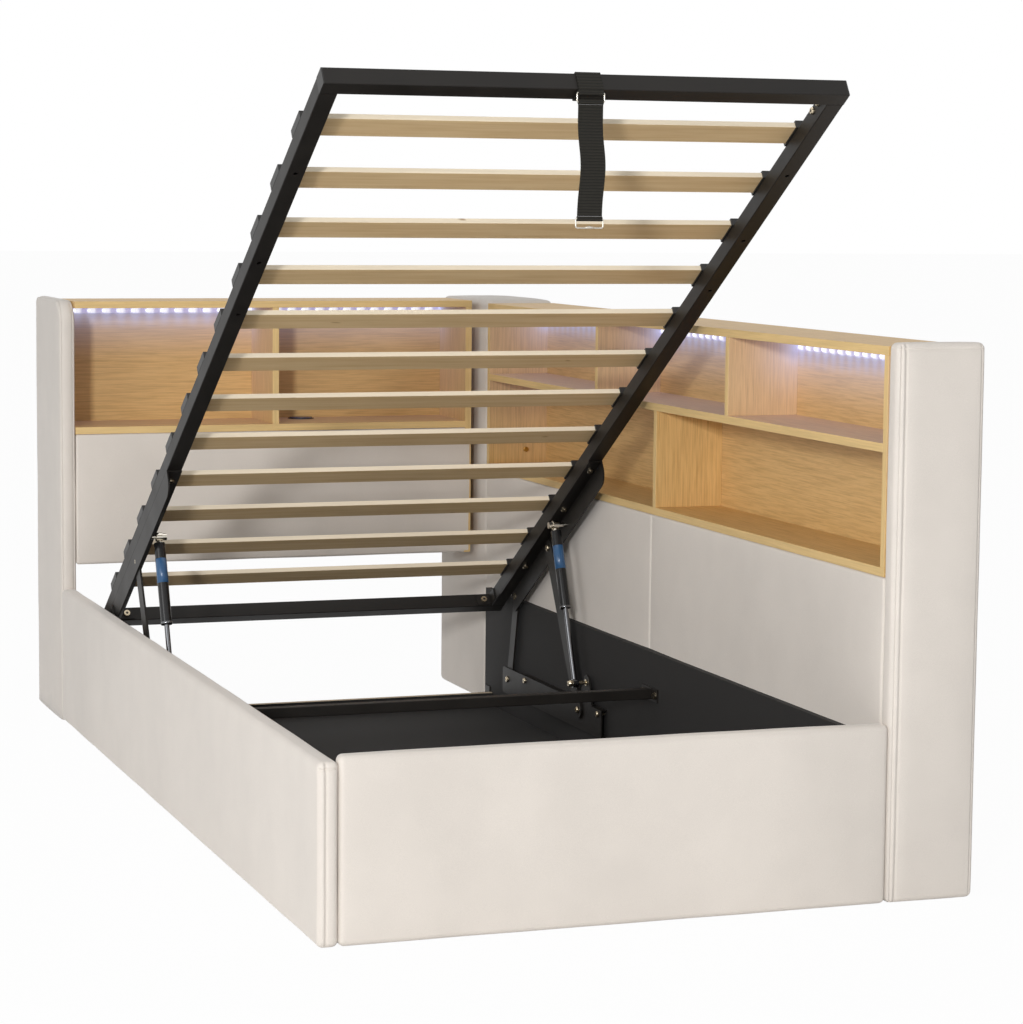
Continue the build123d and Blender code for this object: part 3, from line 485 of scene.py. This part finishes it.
def ring_faces(base, gaps, sides):
    """Quads between rings of points that follow each other, from a first point's index."""
    faces = []
    for ring in range(gaps):
        for step in range(sides):
            a, b = base + ring * sides + step, base + ring * sides + (step + 1) % sides
            faces.append((a, b, b + sides, a + sides))
    return faces


SEAM_HALF = 0.0022
SEAM_DEPTH = 0.0022
WRINKLE = 0.0009
WRINKLE_SCALE = 7.0
BOARD_STEP = 0.03
EDGE = 0.010
PAD_EDGE = 0.006
BLOCK_EDGE = 0.014


def soft_board(name, node_name, radius, crown, seams=()):
    """A covered board in a CAD node's place: rounded edges, crowned faces and sewn seams.

    crown maps a face, such as "-y", to how far its middle stands out. A seam is (face, axis, place)."""
    low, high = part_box(node_name)
    extra = {axis: [] for axis in "xyz"}
    for face, axis, place in seams:
        extra[axis] += [place + SEAM_HALF * share for share in (-2.0, -1.0, -0.5, 0.0, 0.5, 1.0, 2.0)]
    lattice = [stations(low[i], high[i], radius, BOARD_STEP, extra[axis]) for i, axis in enumerate("xyz")]
    points, faces = box_lattice(*lattice)
    inner_low = low + Vector((radius,) * 3)
    inner_high = high - Vector((radius,) * 3)
    shaped = []
    for point in points:
        inner = Vector(min(max(point[i], inner_low[i]), inner_high[i]) for i in range(3))
        out = (point - inner).normalized()
        rise = 0.0
        for i, axis in enumerate("xyz"):
            face = ("-" if out[i] < 0 else "+") + axis
            share = abs(out[i])
            for other in range(3):
                if other != i:
                    place = (point[other] - low[other]) / (high[other] - low[other])
                    share *= 1 - abs(2 * place - 1) ** 5
            rise += crown.get(face, 0.0) * share
        for face, axis, place in seams:
            side = "xyz".index(face[1])
            facing = out[side] * (-1 if face[0] == "-" else 1)
            gap = (point["xyz".index(axis)] - place) / SEAM_HALF
            if facing > 0.5:
                rise -= SEAM_DEPTH * exp(-gap * gap)
        rise += WRINKLE * noise.noise(inner * WRINKLE_SCALE) * (0.3 + 0.7 * max(abs(part) for part in out))
        shaped.append(inner + out * (radius + rise))
    made = piece(name, shaped, faces, velvet, node_name)
    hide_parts(node_name)


WIRE_SIDES = 8


def wire(name, line, radius, material, like):
    """A round wire along points, closed at both ends."""
    line = [Vector(point) for point in line]
    points = []
    side = None
    for index, point in enumerate(line):
        ahead = (line[min(index + 1, len(line) - 1)] - line[max(index - 1, 0)]).normalized()
        if side is None:
            side = ahead.orthogonal().normalized()
        side = (side - ahead * side.dot(ahead)).normalized()
        up = ahead.cross(side)
        for step in range(WIRE_SIDES):
            angle = 2 * pi * step / WIRE_SIDES
            points.append(point + (side * cos(angle) + up * sin(angle)) * radius)
    faces = ring_faces(0, len(line) - 1, WIRE_SIDES)
    faces.append(tuple(range(WIRE_SIDES))[::-1])
    faces.append(tuple(range(len(points) - WIRE_SIDES, len(points))))
    piece(name, points, faces, material, like)


# Upholstered boards
def upholstery():
    """The covered boards, each with the seams that the photograph shows."""
    rail_low, rail_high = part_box("left_side_rail")
    soft_board("left_side_rail_cover", "left_side_rail", EDGE, {"-x": 0.002, "-y": 0.0015, "+z": 0.001},
               seams=[("-y", "z", rail_high.z - 0.012), ("-y", "x", rail_low.x + 0.013)])
    soft_board("footboard_cover", "footboard", EDGE, {"-y": 0.003, "+z": 0.001})
    low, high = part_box("foot_post")
    soft_board("foot_post_cover", "foot_post", EDGE, {"-y": 0.003, "-x": 0.001, "+x": 0.001, "+z": 0.001},
               seams=[("-y", "x", low.x + 0.006), ("-y", "x", low.x + 0.015), ("-y", "z", high.z - 0.009),
                      ("-y", "x", high.x - 0.006)])
    soft_board("head_corner_block_cover", "head_corner_block", BLOCK_EDGE,
               {"-y": 0.002, "-x": 0.002, "+x": 0.002, "+y": 0.002, "+z": 0.003})
    soft_board("headboard_panel_cover", "headboard_panel", PAD_EDGE, {"-y": 0.003})
    soft_board("bookcase_panel_foot_cover", "bookcase_panel_foot", PAD_EDGE, {"-x": 0.003})
    soft_board("bookcase_panel_head_cover", "bookcase_panel_head", PAD_EDGE, {"-x": 0.003})


WING_CORNER = 0.050
WING_BACK_CORNER = 0.015
WING_ARC = 10                       # divisions of a corner, a long side and a short one
WING_LONG = 30
WING_SHORT = 8
WING_LEAST = 0.0005
# distances in from the outer face, and how far the outline is drawn in there
WING_EDGE = ((-0.0016, 0.115), (-0.0014, 0.06), (-0.0007, 0.025), (0.0, 0.008), (0.0008, 0.0035),
             (0.0025, 0.001), (0.004, 0.0), (0.0054, 0.0016), (0.0068, -0.0004), (0.010, -0.0016))
WING_BULGE = 0.0026


def wing_outline(low, high, inset):
    """The wing's side profile, drawn in by an inset except at its foot."""
    outline = []
    for y, z, radius, begin in ((high.y, high.z, WING_BACK_CORNER, 0), (low.y, high.z, WING_CORNER, 90)):
        reach = max(radius, inset)
        toward_y = 1 if y == high.y else -1
        middle = Vector((0, y - toward_y * reach, z - reach))
        for count in range(WING_ARC + 1):
            angle = radians(begin + 90 * count / WING_ARC)
            outline.append(middle + Vector((0, cos(angle), sin(angle))) * max(reach - inset, WING_LEAST))
    behind, before = outline[:WING_ARC + 1], outline[WING_ARC + 1:]
    front, back = before[-1], behind[0]
    top = [behind[-1].lerp(before[0], step / WING_SHORT) for step in range(1, WING_SHORT)]
    down = [Vector((0, front.y, front.z + (low.z - front.z) * step / WING_LONG))
            for step in range(1, WING_LONG + 1)]
    foot = [Vector((0, front.y + (back.y - front.y) * step / WING_SHORT, low.z))
            for step in range(1, WING_SHORT)]
    up = [Vector((0, back.y, low.z + (back.z - low.z) * step / WING_LONG)) for step in range(WING_LONG)]
    return behind + top + before + down + foot + up


def wing():
    """The left wing: an edge band between two crowned faces, with a seam along each side of it."""
    low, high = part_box("left_wing")
    thick = high.x - low.x
    inner_edge = [(min(thick - x, thick), inset) for x, inset in reversed(WING_EDGE)]
    loops = []
    for x, inset in list(WING_EDGE) + [(thick / 2, -WING_BULGE)] + inner_edge:
        loops.append([Vector((low.x + x, p.y, p.z)) for p in wing_outline(low, high, inset)])
    count = len(loops[0])
    points = []
    for loop in loops:
        points += [p + Vector((1, 1, 0)) * WRINKLE * noise.noise(p * WRINKLE_SCALE) for p in loop]
    faces = ring_faces(0, len(loops) - 1, count)
    faces.append(tuple(range(count))[::-1])
    faces.append(tuple(range((len(loops) - 1) * count, len(loops) * count)))
    made = piece("left_wing_cover", points, faces, velvet, "left_wing")
    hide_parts("left_wing")


upholstery()
wing()


# Wood boards
BEVEL = 0.0007
FACING = 0.9                        # least cosine at which a polygon counts as facing a direction


def bevelled_board(name, node_name, grain, front, kinds):
    """A board with eased edges, grain along one axis and banding on its front edge, painted paler as
    painted highlight.
    """
    low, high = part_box(node_name)
    xs, ys, zs = ([low[i], low[i] + BEVEL, high[i] - BEVEL, high[i]] for i in range(3))
    points, faces = box_lattice(xs, ys, zs)
    inner_low, inner_high = low + Vector((BEVEL,) * 3), high - Vector((BEVEL,) * 3)
    shaped = []
    for point in points:
        inner = Vector(min(max(point[i], inner_low[i]), inner_high[i]) for i in range(3))
        shaped.append(inner + (point - inner).normalized() * BEVEL)
    made = piece(name, shaped, faces, kinds[grain], node_name, smooth=False)
    made.data.materials.append(lit_edge_band[grain])
    made.data.materials.append(raw_back)
    for polygon in made.data.polygons:
        if polygon.normal.dot(Vector(front)) > FACING:
            polygon.material_index = 1
        elif polygon.normal.dot(Vector(front)) < -FACING:
            polygon.material_index = 2
    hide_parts(node_name)


TO_FOOT = (0, -1, 0)
TO_BED = (-1, 0, 0)


HEAD_BOARDS = (("top_board", 0, oak), ("end_board", 2, head_oak), ("divider", 2, head_oak))
CASE_BOARDS = (("top_board", 1, oak), ("middle_shelf", 1, {1: case_shelf_oak}), ("bottom_shelf", 1, oak),
               ("head_board", 2, case_oak), ("foot_board", 2, case_oak), ("upper_divider_1", 2, case_oak),
               ("upper_divider_2", 2, case_oak), ("lower_divider", 2, oak))


def boards():
    """The bevelled boards: each one's name, grain axis and the materials for its grain."""
    for name, grain, kinds in HEAD_BOARDS:
        bevelled_board(f"headboard_{name}_oak", f"headboard_{name}", grain, TO_FOOT, kinds)
    for name, grain, kinds in CASE_BOARDS:
        bevelled_board(f"bookcase_{name}_oak", f"bookcase_{name}", grain, TO_BED, kinds)


def paint(node_name, material, *rules):
    """Give a CAD node a material, and other materials to the polygons that the rules pick."""
    made = nodes[node_name]
    made.data.materials.clear()
    made.data.materials.append(material)
    for polygon in made.data.polygons:
        polygon.material_index = 0
    for index, (other, wanted) in enumerate(rules, start=1):
        made.data.materials.append(other)
        for polygon in made.data.polygons:
            if wanted(polygon):
                polygon.material_index = index


boards()
# its front edge painted paler as painted highlight
paint("headboard_shelf", head_shelf_oak, (lit_edge_band[0], lambda polygon: polygon.normal.y < -FACING))
paint("headboard_back", head_oak[0], (raw_back, lambda polygon: polygon.normal.y > FACING))
paint("bookcase_back", case_oak[1], (raw_back, lambda polygon: polygon.normal.x > FACING))
paint("bookcase_lower_uprights", oak[2])
for name in ("storage_side_panel", "storage_floor_foot", "storage_floor_head"):
    paint(name, black_board)
paint("storage_end_board", black_board, (raw_cream, lambda polygon: polygon.normal.z > FACING))
for name in ("storage_end_brackets", "storage_cross_tube", "left_base_bracket", "right_base_bracket",
             "left_front_link", "right_front_link", "left_rear_link", "right_rear_link", "frame_left_rail",
             "frame_right_rail", "frame_foot_tube", "frame_head_tube", "frame_corner_angles",
             "left_lift_arm", "right_lift_arm"):
    paint(name, black_steel)
for name in ("base_bolts", "base_pins", "frame_bolts"):
    paint(name, zinc)
paint("bookcase_connector_screw", brass)
paint("tube_end_plugs", dark_plastic)
paint("slat_caps", dark_plastic)
paint("charging_grommet", dark_plastic, (charger_top, lambda polygon: polygon.normal.z > FACING))
paint("strap_rings", bright)
paint("headboard_led_strip", lit_tape[0])
paint("bookcase_led_strip", lit_tape[1])


def paint_slats():
    """Broad faces in one tone of birch, and the laminated edges paler."""
    broad = max(nodes["slats"].data.polygons, key=lambda polygon: polygon.area).normal.copy()

    def laminated(polygon):
        """A slat's long edges: neither its ends nor its broad faces."""
        return abs(polygon.normal.x) < 0.5 and abs(polygon.normal.dot(broad)) < 0.75

    paint("slats", birch, (birch_edge, laminated))


paint_slats()


# Gas struts
STRUT_FOOT = Vector(JOINTS["strut_hinge"]["pos_m"])
STRUT_UP = Vector(JOINTS["strut_slide"]["axis"])
STRUT_EYE = 0.009
EYE_REACH = 0.013
LABEL_FROM_EYE = (0.53, 0.25)       # shares of the cylinder's length
COLLAR_WIDE = 0.005
BAND_RADIUS = 0.0113
RING_RADIUS = 0.0117
SLEEVE_SIDES = 28
SLEEVE_THICK = 0.0006
SLEEVE_EASE = 0.0004


def sleeve(name, middle_x, span, radius, material, like):
    """A thin sleeve round a strut, its ends turned in, between two distances from its lower pin."""
    side, up = Vector((1, 0, 0)), STRUT_UP.cross(Vector((1, 0, 0)))
    points = []
    low, high = span
    under = radius - SLEEVE_THICK
    profile = ((low, under), (low + SLEEVE_EASE, radius), (high - SLEEVE_EASE, radius), (high, under))
    for along, size in profile:
        centre = Vector((middle_x, STRUT_FOOT.y, STRUT_FOOT.z)) + STRUT_UP * along
        for step in range(SLEEVE_SIDES):
            angle = 2 * pi * step / SLEEVE_SIDES
            points.append(centre + (side * cos(angle) + up * sin(angle)) * size)
    piece(name, points, ring_faces(0, len(profile) - 1, SLEEVE_SIDES), material, like)


def along_strut(point):
    """How far a point is from the strut's lower pin, measured along the strut."""
    return (point - STRUT_FOOT).dot(STRUT_UP)


def struts():
    """Both struts' finishes, and the label and the collar on each cylinder."""
    for side in ("left", "right"):
        cylinder = f"{side}_strut_cylinder"
        rod_low, rod_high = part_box(f"{side}_strut_rod")
        middle_x = (rod_low.x + rod_high.x) / 2
        reach = [along_strut(point.co) for point in nodes[cylinder].data.vertices]
        top, bottom = max(reach) - STRUT_EYE, min(reach)
        eye = top - EYE_REACH
        paint(cylinder, gloss_black, (bright, lambda polygon: along_strut(polygon.center) > eye))
        paint(f"{side}_strut_rod", rod_chrome)
        label = tuple(top - share * (top - bottom) for share in LABEL_FROM_EYE)
        sleeve(f"{side}_strut_label", middle_x, label, BAND_RADIUS, band_blue, cylinder)
        collar = (bottom, bottom + COLLAR_WIDE)
        sleeve(f"{side}_strut_collar", middle_x, collar, RING_RADIUS, rod_chrome, cylinder)


struts()


# Charging disc
CHARGER_RIM = 0.003
CHARGER_SIDES = 40
# shares of the disc's radius, and heights over the grommet
CHARGER_DOME = ((1.0, -0.0004), (1.0, 0.0008), (0.95, 0.0016), (0.7, 0.0024), (0.35, 0.0028))


def charger_pad():
    """The charging disc on the grommet, slightly domed, inside its rim."""
    low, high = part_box("charging_grommet")
    middle, radius = (low + high) / 2, (high.x - low.x) / 2 - CHARGER_RIM
    points = []
    for size, lift in CHARGER_DOME:
        for step in range(CHARGER_SIDES):
            angle = 2 * pi * step / CHARGER_SIDES
            points.append((middle.x + radius * size * cos(angle), middle.y + radius * size * sin(angle),
                           high.z + lift))
    faces = ring_faces(0, len(CHARGER_DOME) - 1, CHARGER_SIDES)
    faces.append(tuple(range(len(points) - CHARGER_SIDES, len(points))))
    piece("charger_pad", points, faces, charger_top, "charging_grommet")


charger_pad()


# Webbing
RIB_PITCH = 0.0048
RIB_HEIGHT = 0.00022
ACROSS_STEP = 0.006
SWAY_OUT = 0.4                      # share of the bow that goes out of the strap's plane


def divided(node_name, step):
    """A copy of a CAD node's mesh, cut across X and Z so that it can bend."""
    low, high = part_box(node_name)
    shape = bmesh.new()
    shape.from_mesh(nodes[node_name].data)
    for axis, spacing in ((0, ACROSS_STEP), (2, step)):
        facing = Vector(1.0 if index == axis else 0.0 for index in range(3))
        for place in np.arange(low[axis] + spacing, high[axis] - spacing / 2, spacing):
            every = shape.verts[:] + shape.edges[:] + shape.faces[:]
            spot = facing * float(place)
            bmesh.ops.bisect_plane(shape, geom=every, dist=1e-6, plane_co=spot, plane_no=facing)
    shape.normal_update()
    return shape


def woven(name, node_name, step, bow):
    """Webbing in a CAD node's place: the same folded shape with crosswise ribs and a slight wave."""
    low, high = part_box(node_name)
    shape = divided(node_name, step)
    moved = []
    for vertex in shape.verts:
        share = (vertex.co.z - low.z) / (high.z - low.z)
        flat = abs(vertex.normal.x) < 0.7
        rib = RIB_HEIGHT * sin(2 * pi * vertex.co.z / RIB_PITCH) if flat else 0.0
        slack = bow * sin(pi * min(max(share, 0.0), 1.0)) ** 2
        sway = Vector((slack * (0.6 + 0.8 * sin(5.0 * share)), slack * SWAY_OUT * sin(9.0 * share), 0))
        moved.append(vertex.co + vertex.normal * rib + sway)
    faces = [[vertex.index for vertex in face.verts] for face in shape.faces]
    shape.free()
    made = piece(name, moved, faces, webbing, node_name, smooth=False)
    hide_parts(node_name)


woven("pull_strap_webbing", "pull_strap", 0.0012, 0.004)
woven("strap_loop_webbing", "strap_loop", 0.002, 0.0)


# Joint in the lower ring: places along the wire, and how high it stands there
JOIN_PEAK = ((-0.007, 0.0), (-0.003, 0.0006), (0.0, 0.0018), (0.003, 0.0006), (0.007, 0.0))
JOIN_RADIUS = 0.0019
RING_WIRE_RADIUS = 0.0013


def ring_join():
    """The lower ring's closed joint: a small peak in its wire."""
    low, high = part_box("strap_rings")
    middle = (low + high) / 2
    line = [(middle.x + across, middle.y, low.z + RING_WIRE_RADIUS + lift) for across, lift in JOIN_PEAK]
    wire("ring_join", line, JOIN_RADIUS, bright, "strap_rings")


ring_join()


# Sockets in the bolt heads, drawn as dark hexagons of painted shade
def loose_parts(mesh):
    """Lists of a mesh's polygons, one list for each separate part."""
    owner = list(range(len(mesh.vertices)))

    def root(index):
        while owner[index] != index:
            owner[index] = owner[owner[index]]
            index = owner[index]
        return index

    for polygon in mesh.polygons:
        first = root(polygon.vertices[0])
        for other in polygon.vertices[1:]:
            owner[root(other)] = first
    parts = {}
    for polygon in mesh.polygons:
        parts.setdefault(root(polygon.vertices[0]), []).append(polygon)
    return list(parts.values())


SOCKET_SHARE = 0.46
# heights over the bolt's head, and shares of the socket's radius
SOCKET_PROFILE = ((-0.0003, 1.0), (0.00015, 1.0), (0.00015, 0.82), (0.00003, 0.8))


def broadest_flat(polygons):
    """Middle, radius and outward direction of a part's broadest flat face."""
    flats = {}
    for polygon in polygons:
        flats.setdefault(tuple(round(value, 2) for value in polygon.normal), []).append(polygon)
    flat = max(flats.values(), key=lambda group: sum(polygon.area for polygon in group))
    area = sum(polygon.area for polygon in flat)
    middle = sum((polygon.center * polygon.area for polygon in flat), Vector()) / area
    return middle, (area / pi) ** 0.5, flat[0].normal.copy()


def sockets(node_name):
    """A dark hexagon of painted shade for a socket's shaded recess, on the broadest flat face of every
    bolt.
    """
    points, faces = [], []
    for part in loose_parts(nodes[node_name].data):
        middle, radius, out = broadest_flat(part)
        side = out.orthogonal().normalized()
        up = out.cross(side)
        base = len(points)
        for lift, size in SOCKET_PROFILE:
            for step in range(6):
                angle = pi * step / 3
                reach = radius * SOCKET_SHARE * size
                points.append(middle + out * lift + (side * cos(angle) + up * sin(angle)) * reach)
        faces += ring_faces(base, len(SOCKET_PROFILE) - 1, 6)
        faces.append(tuple(range(len(points) - 6, len(points))))
        faces.append(tuple(base + step for step in range(6))[::-1])
    piece(f"{node_name}_sockets", points, faces, socket_shade, node_name, smooth=False)


for name in ("frame_bolts", "base_bolts"):
    sockets(name)


# Light strips
LED_SIZE = 0.0044
LED_HEIGHT = 0.0016
LED_PROFILE = ((0.0, 0.5), (0.7, 0.5), (1.0, 0.35))     # shares of a chip's height and of its size


def led_dots(strip, axis, out):
    """Lit chips along a strip, on its face."""
    low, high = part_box(strip)
    span = high[axis] - low[axis]
    count = int(span / LED_PITCH)
    first = low[axis] + (span - (count - 1) * LED_PITCH) / 2
    across = 1 - axis
    face, up = Vector(out), Vector((0, 0, 1))
    run = Vector((1, 0, 0)) if axis == 0 else Vector((0, 1, 0))
    middle = (low + high) / 2
    middle[across] = (low if sum(out) < 0 else high)[across]
    points, faces = [], []
    for index in range(count):
        middle[axis] = first + index * LED_PITCH
        base = len(points)
        for lift, size in LED_PROFILE:
            for a, b in ((-1, -1), (1, -1), (1, 1), (-1, 1)):
                points.append(middle + face * lift * LED_HEIGHT + (run * a + up * b) * size * LED_SIZE)
        faces += ring_faces(base, len(LED_PROFILE) - 1, 4)
        faces.append(tuple(range(len(points) - 4, len(points))))
    piece(f"{strip}_dots", points, faces, led_lit, strip, smooth=False)


led_dots("headboard_led_strip", 0, (0, -1, 0))
led_dots("bookcase_led_strip", 1, (-1, 0, 0))


# Studio
ROOM_LIGHT = 0.36                   # the white room's light on the object; seen directly, it is 1
FLOOR_SIZE = 60.0
FLOOR_GREY = 0.86
FLOOR_WHITE = 0.965                 # how much of plain white the camera sees in the floor
LAMPS = (("key", (-3.7, -6.8, 2.1), (0, 0.2, 0.5), 0.6, 255),
         ("side", (-4.2, -2.6, 1.8), (0, -0.6, 0.4), 2.4, 48),
         ("top", (0, 0.5, 5.0), (0, 0.3, 0), 4.0, 30))


def seen_directly(tree):
    """1 for what the camera or a reflection sees, 0 for the light that falls on surfaces."""
    path = node(tree, "LightPath").outputs
    return calc(tree, "MAXIMUM", path["Is Camera Ray"], path["Is Glossy Ray"])


def room():
    """A white room, dimmer on the object than it looks."""
    world = bpy.data.worlds.new("world")
    bpy.context.scene.world = world
    world.use_nodes = True
    tree = world.node_tree
    background = tree.nodes["Background"]
    background.inputs["Color"].default_value = (1, 1, 1, 1)
    path = node(tree, "LightPath").outputs
    seen = calc(tree, "MAXIMUM", seen_directly(tree), path["Is Transmission Ray"])
    tree.links.new(rescale(tree, seen, (ROOM_LIGHT, 1.0)), background.inputs["Strength"])


def floor():
    """A pale floor that fades into the white room."""
    size = FLOOR_SIZE
    mesh = bpy.data.meshes.new("floor")
    corners = [(-size, -size, 0), (size, -size, 0), (size, size, 0), (-size, size, 0)]
    mesh.from_pydata(corners, [], [(0, 1, 2, 3)])
    made = bpy.data.objects.new("floor", mesh)
    bpy.context.scene.collection.objects.link(made)
    material = bpy.data.materials.new("floor")
    material.use_nodes = True
    tree = material.node_tree
    shader = tree.nodes["Principled BSDF"]
    shader.inputs["Base Color"].default_value = grey(FLOOR_GREY)
    shader.inputs["Roughness"].default_value = 0.9
    white = node(tree, "Emission", {"Strength": 1.0})
    share = calc(tree, "MULTIPLY", seen_directly(tree), FLOOR_WHITE)
    mixed = node(tree, "MixShader", {0: share, 1: shader.outputs[0], 2: white.outputs[0]})
    tree.links.new(mixed.outputs[0], tree.nodes["Material Output"].inputs["Surface"])
    mesh.materials.append(material)


def lamps():
    """Area lamps: name, place, aim, width and power."""
    for name, at, aim, width, power in LAMPS:
        data = bpy.data.lights.new(name, "AREA")
        data.size = width
        data.energy = power
        light = bpy.data.objects.new(name, data)
        bpy.context.scene.collection.objects.link(light)
        light.location = at
        light.rotation_mode = "QUATERNION"
        light.rotation_quaternion = (Vector(aim) - Vector(at)).to_track_quat("-Z", "Y")


bpy.context.scene.view_settings.view_transform = "Standard"
room()
floor()
lamps()
